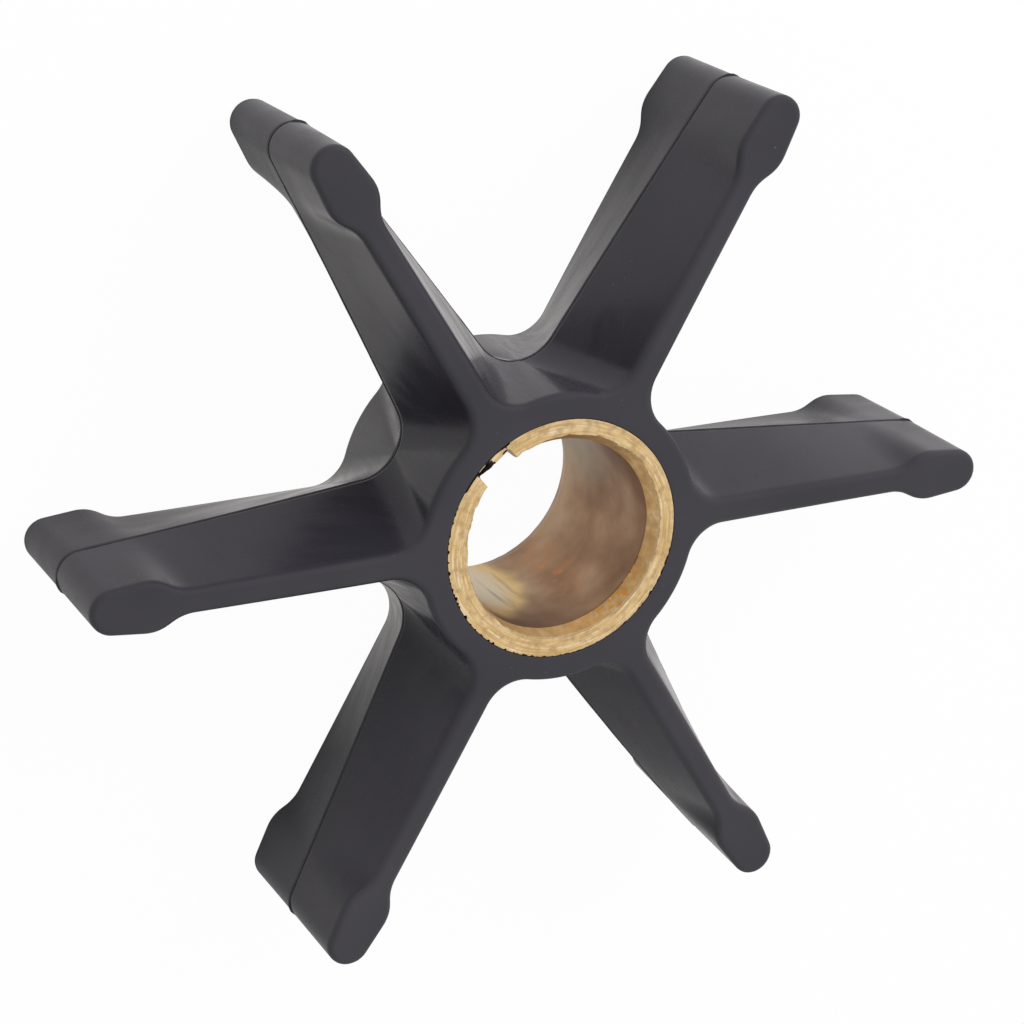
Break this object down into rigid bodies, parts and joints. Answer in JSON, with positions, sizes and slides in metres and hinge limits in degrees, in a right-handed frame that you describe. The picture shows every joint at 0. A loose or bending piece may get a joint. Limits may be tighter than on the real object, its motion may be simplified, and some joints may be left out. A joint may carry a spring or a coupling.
{
  "type": "pump impeller",
  "caption": "Flexible rubber pump impeller with straight radial vanes, beaded tips and a bonded brass bushing with a keyway.",
  "frame": {"origin": "on the shaft axis, at the lower end face", "axes": "+Z along the shaft axis, +X out along one vane, the part lying on one end face"},
  "size_m": [0.0766, 0.067, 0.0169],
  "materials": {
    "rubber": "satin moulded nitrile rubber, near black",
    "brass": "turned brass, bright ends, oxidised bore"
  },
  "bodies": {
    "root": {"rubber_vanes": "rubber", "brass_bushing": "brass"}
  },
  "joints": []
}
